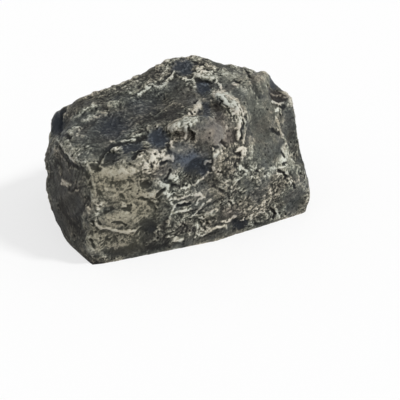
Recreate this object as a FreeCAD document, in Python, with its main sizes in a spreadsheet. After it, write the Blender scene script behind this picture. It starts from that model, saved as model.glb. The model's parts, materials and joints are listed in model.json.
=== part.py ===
# Hollow imitation rock that hides house keys, in millimetres.
#
# Four separate pieces: the cast resin rock, the white plastic tray that plugs the hollow in its base,
# and the two keys that lie in the tray.  The origin is the middle of the rock in plan, on the surface
# that it stands on: +X runs along the rock to the right, +Y to its back and +Z up.
import FreeCAD, Part
import Sketcher
import os

# The rock is chipped from a block of its own overall length, depth and height.  Every chip leaves one
# flat facet.  It faces the compass angle "faces" (0 is +X and 90 is +Y), looks up by the angle
# "leans", and bites this deep into the block, measured from the block's nearest corner.
SIZES = {
    "block_length": 104.4,
    "block_depth": 73.6,
    "block_height": 57.1,
    "right_end_faces": 0,
    "right_end_leans": 5,
    "right_end_bite": 5,
    "right_foot_faces": 350,
    "right_foot_leans": -12,
    "right_foot_bite": 5.6,
    "right_shoulder_faces": 8,
    "right_shoulder_leans": 40,
    "right_shoulder_bite": 16.2,
    "right_crown_faces": 15,
    "right_crown_leans": 66,
    "right_crown_bite": 14.7,
    "right_front_faces": 296,
    "right_front_leans": 32,
    "right_front_bite": 29.9,
    "right_corner_faces": 320,
    "right_corner_leans": 0,
    "right_corner_bite": 8.7,
    "front_left_faces": 266,
    "front_left_leans": -4,
    "front_left_bite": 5.6,
    "front_right_faces": 276.5,
    "front_right_leans": -4,
    "front_right_bite": 7.2,
    "front_brow_faces": 262,
    "front_brow_leans": 18,
    "front_brow_bite": 12.9,
    "left_slope_faces": 244,
    "left_slope_leans": 74,
    "left_slope_bite": 20.3,
    "left_end_faces": 190,
    "left_end_leans": 4,
    "left_end_bite": 9.1,
    "left_foot_faces": 180,
    "left_foot_leans": -17,
    "left_foot_bite": 4.9,
    "left_back_faces": 154,
    "left_back_leans": -6,
    "left_back_bite": 17.9,
    "left_top_faces": 158,
    "left_top_leans": 38,
    "left_top_bite": 26.6,
    "back_face_faces": 90,
    "back_face_leans": 3,
    "back_face_bite": 3,
    "back_slope_faces": 105,
    "back_slope_leans": 39,
    "back_slope_bite": 28.8,
    "back_right_faces": 68,
    "back_right_leans": 42,
    "back_right_bite": 27.8,
    "back_corner_faces": 45,
    "back_corner_leans": 5,
    "back_corner_bite": 12.6,
    # Two soft hollows in the front, and a smooth lump high on the back left.
    "front_hollow_left_of_middle": 2.4,
    "front_hollow_out_of_front": 1.3,
    "front_hollow_height": 31,
    "front_hollow_half_length": 11,
    "front_hollow_half_depth": 6,
    "front_hollow_half_height": 8,
    "ridge_hollow_right_of_middle": 8.6,
    "ridge_hollow_from_front": 13.7,
    "ridge_hollow_from_top": 11.1,
    "ridge_hollow_half_length": 7.5,
    "ridge_hollow_half_depth": 5,
    "ridge_hollow_half_height": 8,
    "back_lump_from_left": 14.8,
    "back_lump_behind_middle": 8.9,
    "back_lump_from_top": 20.1,
    "back_lump_half_length": 8.5,
    "back_lump_half_depth": 9,
    "back_lump_half_height": 9,
    # Long ridges that stand on the facets.  Each has its middle this far across and up its facet
    # from the block's corner, its half length, half width and rise, and its turn from level.
    "ridge_taper": 0.75,
    "claw_across": -23.5,
    "claw_up": 5.5,
    "claw_half_length": 8.5,
    "claw_half_width": 3.2,
    "claw_rise": 1.9,
    "claw_turn": -42,
    "claw_finger_across": -27.5,
    "claw_finger_up": 1,
    "claw_finger_half_length": 6,
    "claw_finger_half_width": 2.4,
    "claw_finger_rise": 1.5,
    "claw_finger_turn": -75,
    "crest_across": 33.5,
    "crest_up": 33,
    "crest_half_length": 11.5,
    "crest_half_width": 3,
    "crest_rise": 1.7,
    "crest_turn": 36,
    "brow_shelf_across": 45,
    "brow_shelf_up": 56,
    "brow_shelf_half_length": 5.5,
    "brow_shelf_half_width": 2.4,
    "brow_shelf_rise": 1.1,
    "brow_shelf_turn": -20,
    "bump_across": -39.5,
    "bump_up": 3,
    "bump_half_length": 7,
    "bump_half_width": 5,
    "bump_rise": 1.3,
    "bump_turn": 0,
    "slab_shelf_across": 4,
    "slab_shelf_up": 15.5,
    "slab_shelf_half_length": 5,
    "slab_shelf_half_width": 3.4,
    "slab_shelf_rise": 1,
    "slab_shelf_turn": 20,
    "slab_streak_across": 9,
    "slab_streak_up": 42,
    "slab_streak_half_length": 13,
    "slab_streak_half_width": 2.4,
    "slab_streak_rise": 1,
    "slab_streak_turn": 18,
    "brow_band_across": 17,
    "brow_band_up": -17,
    "brow_band_half_length": 10,
    "brow_band_half_width": 3,
    "brow_band_rise": 1.2,
    "brow_band_turn": 4,
    "brow_patch_across": 29,
    "brow_patch_up": -15,
    "brow_patch_half_length": 6.5,
    "brow_patch_half_width": 3.6,
    "brow_patch_rise": 1.3,
    "brow_patch_turn": 8,
    "eye_mound_across": 16,
    "eye_mound_up": 19,
    "eye_mound_half_length": 9,
    "eye_mound_half_width": 5,
    "eye_mound_rise": 1.2,
    "eye_mound_turn": 5,
    "knuckle_across": 38,
    "knuckle_up": 25,
    "knuckle_half_length": 9,
    "knuckle_half_width": 2.8,
    "knuckle_rise": 0.8,
    "knuckle_turn": 32,
    "low_ridge_across": -28,
    "low_ridge_up": 12,
    "low_ridge_half_length": 12,
    "low_ridge_half_width": 2.6,
    "low_ridge_rise": 1.1,
    "low_ridge_turn": 12,
    "right_ridge_across": -12,
    "right_ridge_up": -21,
    "right_ridge_half_length": 6,
    "right_ridge_half_width": 4,
    "right_ridge_rise": 1.2,
    "right_ridge_turn": 60,
    "end_ridge_across": -22,
    "end_ridge_up": -35,
    "end_ridge_half_length": 11,
    "end_ridge_half_width": 2.6,
    "end_ridge_rise": 1.2,
    "end_ridge_turn": 40,
    "back_ridge_across": 58,
    "back_ridge_up": -30,
    "back_ridge_half_length": 15,
    "back_ridge_half_width": 3,
    "back_ridge_rise": 1.2,
    "back_ridge_turn": -14,
    "slope_ridge_across": -24,
    "slope_ridge_up": -8,
    "slope_ridge_half_length": 13,
    "slope_ridge_half_width": 3,
    "slope_ridge_rise": 1.5,
    "slope_ridge_turn": -16,
    "slope_streak_across": -44,
    "slope_streak_up": 10,
    "slope_streak_half_length": 11,
    "slope_streak_half_width": 2.6,
    "slope_streak_rise": 1.3,
    "slope_streak_turn": -14,
    "rear_ridge_across": 20,
    "rear_ridge_up": 8,
    "rear_ridge_half_length": 11,
    "rear_ridge_half_width": 2.8,
    "rear_ridge_rise": 1.4,
    "rear_ridge_turn": -18,
    "far_ridge_across": 12,
    "far_ridge_up": 20,
    "far_ridge_half_length": 10,
    "far_ridge_half_width": 2.8,
    "far_ridge_rise": 1.4,
    "far_ridge_turn": 24,
    "side_ridge_across": -34,
    "side_ridge_up": -30,
    "side_ridge_half_length": 11,
    "side_ridge_half_width": 2.6,
    "side_ridge_rise": 1.2,
    "side_ridge_turn": 38,
    # Round scars, chipped from the facets to one depth, each with its middle and its radius.
    "scar_depth": 1.4,
    "smooth_scar_across": 27.5,
    "smooth_scar_up": 21.5,
    "smooth_scar_radius": 5.5,
    "brow_scar_across": 44,
    "brow_scar_up": 50,
    "brow_scar_radius": 4.5,
    "slab_scar_across": 11,
    "slab_scar_up": 31,
    "slab_scar_radius": 6.5,
    "upper_scar_across": 25,
    "upper_scar_up": 46,
    "upper_scar_radius": 6,
    "step_scar_across": 9,
    "step_scar_up": 12,
    "step_scar_radius": 5,
    "corner_scar_across": 2,
    "corner_scar_up": 3,
    "corner_scar_radius": 5,
    "gap_scar_across": -32.5,
    "gap_scar_up": 0,
    "gap_scar_radius": 4,
    "under_scar_across": -34,
    "under_scar_up": -14,
    "under_scar_radius": 5.5,
    "facet_scar_across": -14,
    "facet_scar_up": -4,
    "facet_scar_radius": 7,
    "patch_scar_across": 27,
    "patch_scar_up": 31,
    "patch_scar_radius": 4.5,
    "lens_scar_across": 27,
    "lens_scar_up": 12,
    "lens_scar_radius": 5.5,
    "lip_scar_across": 12,
    "lip_scar_up": 8,
    "lip_scar_radius": 5,
    "middle_scar_across": 46,
    "middle_scar_up": 12,
    "middle_scar_radius": 6,
    "spot_scar_across": -38,
    "spot_scar_up": 4,
    "spot_scar_radius": 5,
    "low_scar_across": -20,
    "low_scar_up": 20,
    "low_scar_radius": 6,
    "end_scar_across": -14,
    "end_scar_up": -44,
    "end_scar_radius": 6,
    "upper_end_scar_across": -28,
    "upper_end_scar_up": -24,
    "upper_end_scar_radius": 6,
    "far_scar_across": 18,
    "far_scar_up": 9,
    "far_scar_radius": 6.5,
    "far_upper_scar_across": -1,
    "far_upper_scar_up": 12,
    "far_upper_scar_radius": 5,
    "top_scar_across": 24,
    "top_scar_up": 0,
    "top_scar_radius": 6,
    "back_scar_across": 30,
    "back_scar_up": -40,
    "back_scar_radius": 7,
    "back_middle_scar_across": 46,
    "back_middle_scar_up": -34,
    "back_middle_scar_radius": 6,
    "back_low_scar_across": 70,
    "back_low_scar_up": -36,
    "back_low_scar_radius": 6.5,
    "back_foot_scar_across": 40,
    "back_foot_scar_up": -52,
    "back_foot_scar_radius": 5.5,
    "slope_scar_across": -18,
    "slope_scar_up": 6,
    "slope_scar_radius": 7,
    "slope_middle_scar_across": -36,
    "slope_middle_scar_up": -4,
    "slope_middle_scar_radius": 6.5,
    "slope_far_scar_across": -50,
    "slope_far_scar_up": -10,
    "slope_far_scar_radius": 6,
    "rear_scar_across": 12,
    "rear_scar_up": -8,
    "rear_scar_radius": 7,
    "rear_upper_scar_across": 10,
    "rear_upper_scar_up": 14,
    "rear_upper_scar_radius": 6,
    "rear_low_scar_across": 28,
    "rear_low_scar_up": -10,
    "rear_low_scar_radius": 6,
    "side_scar_across": -24,
    "side_scar_up": -38,
    "side_scar_radius": 6.5,
    "side_back_scar_across": -47,
    "side_back_scar_up": -36,
    "side_back_scar_radius": 6.5,
    "side_upper_scar_across": -26,
    "side_upper_scar_up": -22,
    "side_upper_scar_radius": 5.5,
    "crown_scar_across": -30,
    "crown_scar_up": 22,
    "crown_scar_radius": 6,
    "angle_scar_across": 0,
    "angle_scar_up": -42,
    "angle_scar_radius": 5.5,
    # The tray is a plate with rounded corners and two low walls that flare a little.
    "plate_length": 70,
    "plate_depth": 40,
    "plate_thickness": 1.8,
    "plate_corner": 4.5,
    "plate_inset": 0.4,
    "channel_width": 24,
    "wall_length": 58,
    "wall_top_length": 46,
    "wall_height": 14.5,
    "wall_thickness": 1.5,
    "wall_flare": 1.1,
    # The hollow in the rock is a shallow seat for the plate and a deeper pocket above it.
    "seat_clearance": 0.3,
    "pocket_length": 66,
    "pocket_clearance": 0.3,
    "pocket_height": 24,
    "pocket_corner": 3,
    # The nickel key: how it lies, its bow, the hole in its bow, its blade, cuts and groove.
    "nickel_length": 55,
    "nickel_thickness": 2.2,
    "nickel_head_x": 29.5,
    "nickel_head_y": 0,
    "nickel_turn": 180,
    "nickel_bow_length": 22.5,
    "nickel_bow_width": 22.8,
    "nickel_bow_end_width": 13,
    "nickel_bow_widest_at": 8.5,
    "nickel_bow_neck_width": 13,
    "nickel_bow_corner": 1.6,
    "nickel_hole_inset": 4.2,
    "nickel_hole_length": 9,
    "nickel_hole_near_width": 8,
    "nickel_hole_widest": 11,
    "nickel_hole_widest_at": 4.5,
    "nickel_hole_far_width": 3,
    "nickel_blade_width": 8.4,
    "nickel_shoulder": 3,
    "nickel_tip_length": 4,
    "nickel_tip_width": 2,
    "nickel_cut_pitch": 4,
    "nickel_cut_flat": 1.5,
    "nickel_cut_a": 2.2,
    "nickel_cut_b": 1.1,
    "nickel_cut_c": 2.9,
    "nickel_cut_d": 1.6,
    "nickel_cut_e": 2.5,
    "nickel_groove_width": 1.5,
    "nickel_groove_depth": 0.6,
    "nickel_groove_offset": 1.9,
    # The brass key, in the same words.
    "brass_length": 52.5,
    "brass_thickness": 2.1,
    "brass_head_x": 20.5,
    "brass_head_y": 2.2,
    "brass_turn": 188,
    "brass_bow_length": 21,
    "brass_bow_width": 21,
    "brass_bow_end_width": 9,
    "brass_bow_widest_at": 15,
    "brass_bow_neck_width": 13,
    "brass_bow_corner": 2.2,
    "brass_hole_inset": 3,
    "brass_hole_length": 6,
    "brass_hole_near_width": 5,
    "brass_hole_widest": 7.5,
    "brass_hole_widest_at": 3.5,
    "brass_hole_far_width": 5,
    "brass_blade_width": 8,
    "brass_shoulder": 3,
    "brass_tip_length": 4,
    "brass_tip_width": 2,
    "brass_cut_pitch": 3.9,
    "brass_cut_flat": 1.5,
    "brass_cut_a": 1.3,
    "brass_cut_b": 2.6,
    "brass_cut_c": 1.8,
    "brass_cut_d": 3,
    "brass_cut_e": 1,
    "brass_groove_width": 1.5,
    "brass_groove_depth": 0.6,
    "brass_groove_offset": 1.8,
}
CHIPS = (
    "right_end", "right_foot", "right_shoulder", "right_crown", "right_front", "right_corner",
    "front_left", "front_right", "front_brow", "left_slope", "left_end", "left_foot", "left_back",
    "left_top", "back_face", "back_slope", "back_right", "back_corner",
)
RIDGES = {
    "right_front": ("claw", "claw_finger", "bump", "right_ridge"),
    "left_slope": ("crest", "brow_shelf", "slab_shelf", "slab_streak"),
    "front_brow": ("brow_band", "brow_patch"),
    "front_left": ("eye_mound", "knuckle"),
    "front_right": ("low_ridge",),
    "left_end": ("end_ridge",),
    "back_face": ("back_ridge",),
    "back_slope": ("slope_ridge", "slope_streak"),
    "back_right": ("rear_ridge",),
    "left_back": ("far_ridge",),
    "right_end": ("side_ridge",),
}
SCARS = {
    "left_slope": ("smooth_scar", "brow_scar", "slab_scar", "upper_scar", "step_scar"),
    "right_front": ("corner_scar", "gap_scar", "under_scar", "facet_scar"),
    "front_left": ("patch_scar", "lens_scar", "lip_scar", "middle_scar"),
    "front_right": ("spot_scar", "low_scar"),
    "left_end": ("end_scar", "upper_end_scar"),
    "left_back": ("far_scar", "far_upper_scar"),
    "left_top": ("top_scar",),
    "back_face": ("back_scar", "back_middle_scar", "back_low_scar", "back_foot_scar"),
    "back_slope": ("slope_scar", "slope_middle_scar", "slope_far_scar"),
    "back_right": ("rear_scar", "rear_upper_scar", "rear_low_scar"),
    "right_end": ("side_scar", "side_back_scar", "side_upper_scar"),
    "right_crown": ("crown_scar",),
    "back_corner": ("angle_scar",),
}
CUTS = ("a", "b", "c", "d", "e")

doc = FreeCAD.newDocument("hide_a_key_rock")
sheet = doc.addObject("Spreadsheet::Sheet", "Sizes")
for row, (name, value) in enumerate(SIZES.items(), start=1):
    sheet.set("A%d" % row, name)
    sheet.set("B%d" % row, str(value))
    sheet.setAlias("B%d" % row, name)
doc.recompute()


def named(text):
    """An expression in which an @ marks each name of the sheet, in the document's own words."""
    return text.replace("@", "Sizes.")


def number(text):
    """The value, now, of such an expression."""
    return float(sheet.evalExpression(named(text)))


def bind(thing, **texts):
    """Bind properties to expressions; a double underscore in a property's name stands for a dot."""
    for name, text in texts.items():
        thing.setExpression(name.replace("__", "."), named(text))


def outline(body, name, corners, height="0"):
    """A closed sketch in the body's XY plane, with each corner given as two expressions."""
    sketch = body.newObject("Sketcher::SketchObject", name)
    planes = {feature.Role: feature for feature in body.Origin.OriginFeatures}
    sketch.AttachmentSupport = [(planes["XY_Plane"], "")]
    sketch.MapMode = "FlatFace"
    bind(sketch, AttachmentOffset__Base__z=height)
    places = [FreeCAD.Vector(number(across), number(along), 0) for across, along in corners]
    for start, end in zip(places, places[1:] + places[:1]):
        sketch.addGeometry(Part.LineSegment(start, end), False)
    for side in range(len(corners)):
        following = (side + 1) % len(corners)
        sketch.addConstraint(Sketcher.Constraint("Coincident", side, 2, following, 1))
    for side, (corner, place) in enumerate(zip(corners, places)):
        for direction, text, value in zip(("DistanceX", "DistanceY"), corner, place):
            row = sketch.addConstraint(Sketcher.Constraint(direction, -1, 1, side, 1, value))
            sketch.setExpression("Constraints[%d]" % row, named(text))
    return sketch


def pad(body, sketch, thickness):
    feature = body.newObject("PartDesign::Pad", sketch.Name + "_pad")
    feature.Profile = sketch
    bind(feature, Length=thickness)
    doc.recompute()
    return feature


def pocket(body, sketch, depth):
    """Cut a sketch down into the body, and make sure that it did cut."""
    before = body.Shape.Volume
    feature = body.newObject("PartDesign::Pocket", sketch.Name + "_pocket")
    feature.Profile = sketch
    bind(feature, Length=depth)
    doc.recompute()
    assert body.Shape.Volume < before, sketch.Name + " cuts nothing"
    return feature


def is_upright(edge):
    """True for a straight edge that stands along Z."""
    start, end = edge.Vertexes[0].Point, edge.Vertexes[-1].Point
    return start.distanceToPoint(end) - abs(start.z - end.z) < 1e-6


def round_uprights(body, base, radius, reach="1000"):
    """Round the upright edges of a body's last feature that lie within reach along X."""
    edges = []
    for row, edge in enumerate(base.Shape.Edges, start=1):
        if is_upright(edge) and edge.Vertexes[0].Point.x < number(reach) - 1e-3:
            edges.append("Edge%d" % row)
    feature = body.newObject("PartDesign::Fillet", base.Name + "_round")
    feature.Base = (base, edges)
    bind(feature, Radius=radius)
    doc.recompute()
    return feature


def rounded_slab(label, length, depth, height, corner, bottom):
    """An upright slab centred on the origin, with rounded corners, standing at the given height."""
    body = doc.addObject("PartDesign::Body", label)
    right, back = "(%s) / 2" % length, "(%s) / 2" % depth
    left, front = "-(%s) / 2" % length, "-(%s) / 2" % depth
    corners = [(left, front), (right, front), (right, back), (left, back)]
    slab = pad(body, outline(body, label + "_outline", corners, bottom), height)
    round_uprights(body, slab, corner)
    return body


def joined(kind, label, base, tool):
    """A boolean cut or common of two objects."""
    result = doc.addObject("Part::" + kind, label)
    result.Base = base
    result.Tool = tool
    return result


def on_facet(chip, out, across, up, turned="rotation(0; 0; 0)"):
    """A placement this far out of a chip's facet, across it and up it, and turned there."""
    corner = ("vector((cos(@%s_faces) < 0 ? -1 : 1) * @block_length / 2;"
              " (sin(@%s_faces) < 0 ? -1 : 1) * @block_depth / 2;"
              " @%s_leans > 0 ? @block_height : 0)" % (chip, chip, chip))
    facing = "rotation(@%s_faces; -@%s_leans; 0)" % (chip, chip)
    place = "vector(%s - @%s_bite; %s; %s)" % (out, chip, across, up)
    return "placement(%s; %s) * placement(%s; %s)" % (corner, facing, place, turned)


def chip_cutter(chip):
    """A big block that takes away all of the rock beyond one facet."""
    cutter = doc.addObject("Part::Box", chip + "_cutter")
    span = "2 * (@block_length + @block_depth + @block_height)"
    bind(cutter, Length=span, Width=span, Height=span)
    bind(cutter, Placement=on_facet(chip, "0", "-(%s) / 2" % span, "-(%s) / 2" % span))
    return cutter


def ridge(chip, name):
    """A ridge like a hipped roof: its eaves are as far under the facet as its top is above."""
    roof = doc.addObject("Part::Wedge", name)
    long, wide, slope = ["@%s_half_length" % name, "@%s_half_width" % name,
                         "@ridge_taper * @%s_half_width" % name]
    bind(roof, Ymin="-@%s_rise" % name, Ymax="@%s_rise" % name)
    bind(roof, Xmin="-(%s + %s)" % (long, slope), Xmax="%s + %s" % (long, slope))
    bind(roof, Zmin="-(%s + %s)" % (wide, slope), Zmax="%s + %s" % (wide, slope))
    bind(roof, X2min="-(%s - %s)" % (long, slope), X2max="%s - %s" % (long, slope))
    bind(roof, Z2min="-(%s - %s)" % (wide, slope), Z2max="%s - %s" % (wide, slope))
    bind(roof, Placement=on_facet(chip, "0", "@%s_across" % name, "@%s_up" % name,
                                  "rotation(-90; @%s_turn; 0)" % name))
    return roof


def scar(chip, name):
    """A ball that takes a shallow round bite out of a facet."""
    ball = doc.addObject("Part::Sphere", name)
    size = "(pow(@%s_radius; 2) + pow(@scar_depth; 2)) / (2 * @scar_depth)" % name
    bind(ball, Radius=size)
    bind(ball, Placement=on_facet(chip, "(%s) - @scar_depth" % size, "@%s_across" % name,
                                  "@%s_up" % name))
    return ball


def merged(label, pieces):
    """A fusion of several objects."""
    result = doc.addObject("Part::MultiFuse", label)
    result.Shapes = pieces
    return result


def on_facets(make, table):
    """Make every feature that a table lists under its chip."""
    return [make(chip, name) for chip, names in table.items() for name in names]


def soft_ball(name, across, along, up):
    """An egg-shaped solid for a hollow or a lump, with its middle given as three expressions."""
    ball = doc.addObject("Part::Ellipsoid", name)
    bind(ball, Radius1="@%s_half_height" % name, Radius2="@%s_half_length" % name,
         Radius3="@%s_half_depth" % name)
    bind(ball, Placement__Base__x=across, Placement__Base__y=along, Placement__Base__z=up)
    return ball


def make_rock():
    rock = doc.addObject("Part::Box", "block")
    bind(rock, Length="@block_length", Width="@block_depth", Height="@block_height")
    bind(rock, Placement__Base__x="-@block_length / 2", Placement__Base__y="-@block_depth / 2")
    for chip in CHIPS:
        rock = joined("Cut", "less_" + chip, rock, chip_cutter(chip))
    lump = soft_ball("back_lump", "@back_lump_from_left - @block_length / 2",
                     "@back_lump_behind_middle", "@block_height - @back_lump_from_top")
    front = soft_ball("front_hollow", "-@front_hollow_left_of_middle",
                      "-@block_depth / 2 - @front_hollow_out_of_front", "@front_hollow_height")
    saddle = soft_ball("ridge_hollow", "@ridge_hollow_right_of_middle",
                       "@ridge_hollow_from_front - @block_depth / 2",
                       "@block_height - @ridge_hollow_from_top")
    seat = rounded_slab("seat", "@plate_length + 2 * @seat_clearance",
                        "@plate_depth + 2 * @seat_clearance", "@plate_inset + @plate_thickness",
                        "@plate_corner + @seat_clearance", "0")
    walls_span = "@channel_width + 2 * (@wall_thickness + @wall_flare + @pocket_clearance)"
    hollow = rounded_slab("pocket", "@pocket_length", walls_span,
                          "@plate_inset + @plate_thickness + @pocket_height", "@pocket_corner", "0")
    rough = merged("ridged_rock", [rock, lump] + on_facets(ridge, RIDGES))
    bites = merged("bites", [front, saddle, seat, hollow] + on_facets(scar, SCARS))
    return joined("Cut", "rock_body", rough, bites)


def tray_wall(label, side, turn):
    """One wall of the tray, standing on the plate: shorter at the top, and leaning outwards."""
    wall = doc.addObject("Part::Wedge", label)
    bind(wall, Xmin="-@wall_length / 2", Xmax="@wall_length / 2")
    bind(wall, X2min="-@wall_top_length / 2", X2max="@wall_top_length / 2")
    bind(wall, Ymin="0", Ymax="@wall_height", Zmin="0", Zmax="@wall_thickness")
    bind(wall, Z2min="@wall_flare", Z2max="@wall_flare + @wall_thickness")
    bind(wall, Placement="placement(vector(0; %d * @channel_width / 2; @plate_inset"
         " + @plate_thickness); rotation(%d; 0; 90))" % (side, turn))
    return wall


def make_tray():
    plate = rounded_slab("plate", "@plate_length", "@plate_depth", "@plate_thickness",
                         "@plate_corner", "@plate_inset")
    return merged("key_tray", [plate, tray_wall("near_wall", -1, 0), tray_wall("far_wall", 1, 180)])


def of_key(metal, corners):
    """Write # for the key's own name in each corner's two expressions."""
    own = "@%s_" % metal
    return [(across.replace("#", own), along.replace("#", own)) for across, along in corners]


def key_outline(metal):
    """The key's outline: the lower side of its bow, its cuts, its tip and back along the top."""
    shoulder = "#bow_length + #shoulder"
    blade_edge = "-#blade_width / 2"
    tip_start = "#length - #tip_length"
    corners = [("0", "-#bow_end_width / 2"), ("#bow_widest_at", "-#bow_width / 2"),
               ("#bow_length", "-#bow_neck_width / 2"), (shoulder, "-#bow_neck_width / 2"),
               (shoulder, blade_edge)]
    for turn, cut in enumerate(CUTS, start=1):
        middle = "%s + %d * #cut_pitch" % (shoulder, turn)
        floor = "%s + #cut_%s" % (blade_edge, cut)
        corners += [("%s - #cut_pitch / 2" % middle, blade_edge),
                    ("%s - #cut_flat / 2" % middle, floor), ("%s + #cut_flat / 2" % middle, floor)]
    corners += [(tip_start, blade_edge), ("#length", "-#tip_width / 2"),
                ("#length", "#tip_width / 2"), (tip_start, "#blade_width / 2"),
                (shoulder, "#blade_width / 2"), (shoulder, "#bow_neck_width / 2"),
                ("#bow_length", "#bow_neck_width / 2"), ("#bow_widest_at", "#bow_width / 2"),
                ("0", "#bow_end_width / 2")]
    return of_key(metal, corners)


def hole_outline(metal):
    """The key-ring hole, widest between its two ends."""
    upper = [("#hole_inset", "#hole_near_width / 2"),
             ("#hole_inset + #hole_widest_at", "#hole_widest / 2"),
             ("#hole_inset + #hole_length", "#hole_far_width / 2")]
    lower = [(across, "-" + along) for across, along in reversed(upper)]
    return of_key(metal, upper + lower)


def groove_outline(metal):
    """A straight groove milled along the upper face of the blade."""
    start, end = "#bow_length + #shoulder", "#length - #tip_length"
    low, high = "#groove_offset - #groove_width / 2", "#groove_offset + #groove_width / 2"
    return of_key(metal, [(start, low), (end, low), (end, high), (start, high)])


def make_key(metal, floor):
    """One flat key, lying with its underside at the given height."""
    body = doc.addObject("PartDesign::Body", metal + "_key")
    thickness = "@%s_thickness" % metal
    blank = pad(body, outline(body, metal + "_blank", key_outline(metal)), thickness)
    round_uprights(body, blank, "@%s_bow_corner" % metal, "@%s_bow_length" % metal)
    pocket(body, outline(body, metal + "_hole", hole_outline(metal), thickness), thickness)
    groove = outline(body, metal + "_groove", groove_outline(metal), thickness)
    pocket(body, groove, "@%s_groove_depth" % metal)
    bind(body, Placement="placement(vector(@%s_head_x; @%s_head_y; %s); rotation(@%s_turn; 0; 0))"
         % (metal, metal, floor, metal))
    return body


tray_floor = "@plate_inset + @plate_thickness"
pieces = {
    "rock_body": make_rock(),
    "key_tray": make_tray(),
    "nickel_key": make_key("nickel", tray_floor),
    "brass_key": make_key("brass", tray_floor + " + @nickel_thickness"),
}
for node, piece in pieces.items():
    piece.Label = node
doc.recompute()

for thing in doc.Objects:
    assert "Invalid" not in thing.State and "Error" not in thing.State, thing.Label + " failed"
for node, piece in pieces.items():
    assert not piece.Shape.isNull() and piece.Shape.isValid(), node + " is not a sound solid"
    assert len(piece.Shape.Solids) == 1, node + " is not one solid"

os.makedirs("parts", exist_ok=True)
for node, piece in pieces.items():
    piece.Shape.exportStep("parts/%s.step" % node)
    box = piece.Shape.BoundBox
    print("%-12s x %6.1f..%5.1f  y %6.1f..%5.1f  z %4.1f..%4.1f  %7.2f cm3" % (
        node, box.XMin, box.XMax, box.YMin, box.YMax, box.ZMin, box.ZMax, piece.Shape.Volume / 1000))
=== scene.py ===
import bpy
import json
import math
import numpy as np
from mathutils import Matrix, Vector, noise

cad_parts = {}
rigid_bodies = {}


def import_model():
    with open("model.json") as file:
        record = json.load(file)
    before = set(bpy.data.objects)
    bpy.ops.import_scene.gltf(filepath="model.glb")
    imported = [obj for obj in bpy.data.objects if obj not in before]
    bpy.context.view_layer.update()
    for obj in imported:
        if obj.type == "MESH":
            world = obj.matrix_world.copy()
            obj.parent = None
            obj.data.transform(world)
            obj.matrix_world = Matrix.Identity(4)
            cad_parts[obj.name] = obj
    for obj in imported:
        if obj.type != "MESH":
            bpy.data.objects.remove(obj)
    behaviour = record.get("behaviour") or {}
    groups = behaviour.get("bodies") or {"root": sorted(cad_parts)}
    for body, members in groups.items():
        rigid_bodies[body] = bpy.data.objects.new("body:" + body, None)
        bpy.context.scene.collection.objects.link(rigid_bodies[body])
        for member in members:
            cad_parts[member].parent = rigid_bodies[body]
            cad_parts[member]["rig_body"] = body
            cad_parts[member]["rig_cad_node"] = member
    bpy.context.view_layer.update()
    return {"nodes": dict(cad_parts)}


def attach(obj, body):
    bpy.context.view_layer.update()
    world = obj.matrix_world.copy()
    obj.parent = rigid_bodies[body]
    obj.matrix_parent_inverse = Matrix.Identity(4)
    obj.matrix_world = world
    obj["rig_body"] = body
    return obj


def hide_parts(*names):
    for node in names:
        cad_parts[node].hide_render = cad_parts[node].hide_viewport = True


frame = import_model()
mm = 0.001

# The camera also says where a brush stroke lands on the rock.  Lengths are in mm.
camera = {
    "azimuth": -26,
    "elevation": 28,
    "distance": 500,
    "looksAt": (7.11, -13.11, 6.86),
    "lens": 112.95,
    "sensor": 36,
    "frameWidth": 400,        # in the units of the strokes
    "clipStart": 10,
    "grazing": (-0.08, 0.16),       # between these cosines a face comes into sight
}


def cameraAxes():
    turn, tilt = math.radians(camera["azimuth"]), math.radians(camera["elevation"])
    back = Vector((math.sin(turn) * math.cos(tilt), -math.cos(turn) * math.cos(tilt),
                   math.sin(tilt)))
    right = Vector((math.cos(turn), math.sin(turn), 0))
    return right, back.cross(right), back


def addCamera():
    right, up, back = cameraAxes()
    bpy.ops.object.camera_add()
    eye = bpy.context.object
    eye.name = "mainCamera"
    eye.location = (Vector(camera["looksAt"]) + back * camera["distance"]) * mm
    eye.rotation_mode = "QUATERNION"
    eye.rotation_quaternion = (-back).to_track_quat("-Z", "Y")
    eye.data.lens = camera["lens"]
    eye.data.sensor_width = camera["sensor"]
    eye.data.clip_start = camera["clipStart"] * mm
    bpy.context.scene.camera = eye
    print("camera placed")


def deselectAll():
    bpy.ops.object.select_all(action="DESELECT")


def makeActive(thing):
    deselectAll()
    thing.select_set(True)
    bpy.context.view_layer.objects.active = thing


# A solid's mesh is loose triangles, so its copy is merged.
mergeGap = 0.001 * mm


def copyOfNode(node, name):
    piece = frame["nodes"][node].copy()
    piece.data = piece.data.copy()
    piece.name = piece.data.name = name
    piece.parent = None
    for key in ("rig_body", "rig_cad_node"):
        del piece[key]
    bpy.context.scene.collection.objects.link(piece)
    makeActive(piece)
    bpy.ops.object.mode_set(mode="EDIT")
    bpy.ops.mesh.select_all(action="SELECT")
    bpy.ops.mesh.remove_doubles(threshold=mergeGap)
    bpy.ops.object.mode_set(mode="OBJECT")
    return piece


def applyModifier(piece, kind, **settings):
    makeActive(piece)
    added = piece.modifiers.new(kind.title(), kind)
    for name, value in settings.items():
        setattr(added, name, value)
    bpy.ops.object.modifier_apply(modifier=added.name)


def dress(piece, node, body, material):
    piece.data.materials.clear()
    piece.data.materials.append(material)
    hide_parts(node)
    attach(piece, body)
    print(piece.name, "dressed")


def readVectors(name, holder):
    flat = np.empty(len(holder) * 3, np.float32)
    holder.foreach_get(name, flat)
    return flat.reshape(-1, 3).astype(float)


def readPoints(piece):
    return readVectors("co", piece.data.vertices) / mm


def writePoints(piece, points):
    piece.data.vertices.foreach_set("co", (points * mm).astype(np.float32).ravel())
    piece.data.update()


def readNormals(piece):
    return readVectors("normal", piece.data.vertices)


def readEdges(piece):
    flat = np.empty(len(piece.data.edges) * 2, np.int32)
    piece.data.edges.foreach_get("vertices", flat)
    return flat.reshape(-1, 2)


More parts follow.
